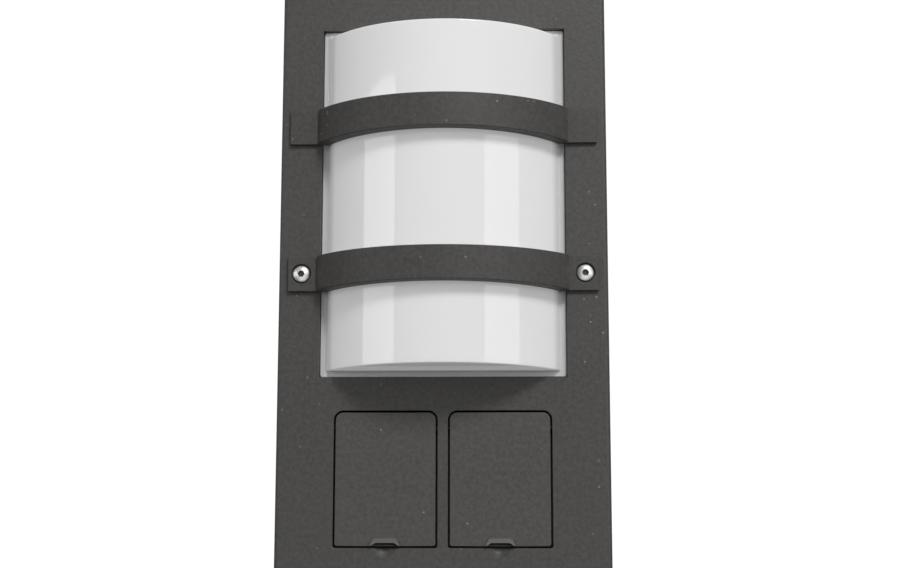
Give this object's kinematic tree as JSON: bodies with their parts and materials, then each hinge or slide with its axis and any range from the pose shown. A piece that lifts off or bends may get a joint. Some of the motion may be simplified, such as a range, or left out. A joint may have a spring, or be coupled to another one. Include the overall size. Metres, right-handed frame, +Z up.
{
  "type": "bollard light with socket",
  "caption": "Upright rectangular garden bollard with a curved opal lamp window behind two straps and flap-covered power outlets below it.",
  "frame": {"origin": "centre of the base plate's underside, on the ground", "axes": "+Z up the column, -Y out of the lit front face, +X to the right when looking along +Y at the front"},
  "size_m": [0.24, 0.1804, 1],
  "materials": {
    "housing_paint": "fine textured powder coat, matt anthracite",
    "strap_paint": "fine textured powder coat, matt anthracite",
    "lid_paint": "fine textured powder coat, matt anthracite",
    "opal_diffuser": "opal white acrylic, polished",
    "tray_white": "gloss white enamel",
    "opal_glass": "opal glass",
    "porcelain": "glazed porcelain",
    "stainless": "stainless steel, bright",
    "black_steel": "blackened steel, satin",
    "zinc_steel": "zinc-plated steel, satin",
    "brass": "plain brass",
    "black_rubber": "matt rubber",
    "grey_silicone": "silicone rubber",
    "socket_plastic": "moulded thermoplastic, fine grain",
    "terminal_plastic": "moulded polyamide",
    "lead_jacket": "smooth cable jacket"
  },
  "bodies": {
    "root": {"column": "housing_paint", "base_plate": "housing_paint", "base_screws": "stainless", "cable_grommet": "black_rubber", "top_cap": "housing_paint", "top_cap_gasket": "black_rubber", "top_cap_screws": "stainless", "service_cover": "housing_paint", "service_cover_gasket": "black_rubber", "service_cover_screws": "stainless", "lamp_tray": "tray_white", "lamp_tray_screws": "zinc_steel", "tray_grommet": "grey_silicone", "diffuser_gasket": "grey_silicone", "diffuser": "opal_diffuser", "upper_strap": "strap_paint", "upper_strap_screws": "zinc_steel", "lower_strap": "strap_paint", "lower_strap_screws": "stainless", "lampholder_bracket": "zinc_steel", "lampholder_bracket_screws": "zinc_steel", "lampholder": "porcelain", "lampholder_screws": "zinc_steel", "lampholder_shell": "brass", "lamp_cap": "zinc_steel", "lamp_bulb": "opal_glass", "socket_carrier": "socket_plastic", "socket_carrier_screws": "zinc_steel", "left_socket_insert": "socket_plastic", "right_socket_insert": "socket_plastic", "left_socket_back": "socket_plastic", "right_socket_back": "socket_plastic", "left_socket_contacts": "brass", "right_socket_contacts": "brass", "left_earth_clips": "stainless", "right_earth_clips": "stainless", "socket_insert_screws": "stainless", "left_hinge_pin": "black_steel", "right_hinge_pin": "black_steel", "left_lid_spring": "stainless", "right_lid_spring": "stainless", "left_lid_seal": "black_rubber", "right_lid_seal": "black_rubber", "terminal_bracket": "zinc_steel", "terminal_bracket_screws": "zinc_steel", "terminal_block": "terminal_plastic", "earth_stud": "brass", "lamp_lead": "lead_jacket", "socket_lead": "lead_jacket", "socket_link_lead": "lead_jacket"},
    "left_lid": {"left_lid": "lid_paint"},
    "right_lid": {"right_lid": "lid_paint"}
  },
  "joints": [
    {"name": "left_lid_hinge", "type": "hinge", "parent": "root", "child": "left_lid", "pos_m": [-0.03075, -0.0515, 0.7305], "axis": [-1, 0, 0], "range_deg": [0, 110], "stiffness_Nm_per_rad": 0.02, "springref_deg": -34.38},
    {"name": "right_lid_hinge", "type": "hinge", "parent": "root", "child": "right_lid", "pos_m": [0.03075, -0.0515, 0.7305], "axis": [-1, 0, 0], "range_deg": [0, 110], "stiffness_Nm_per_rad": 0.02, "springref_deg": -34.38}
  ]
}
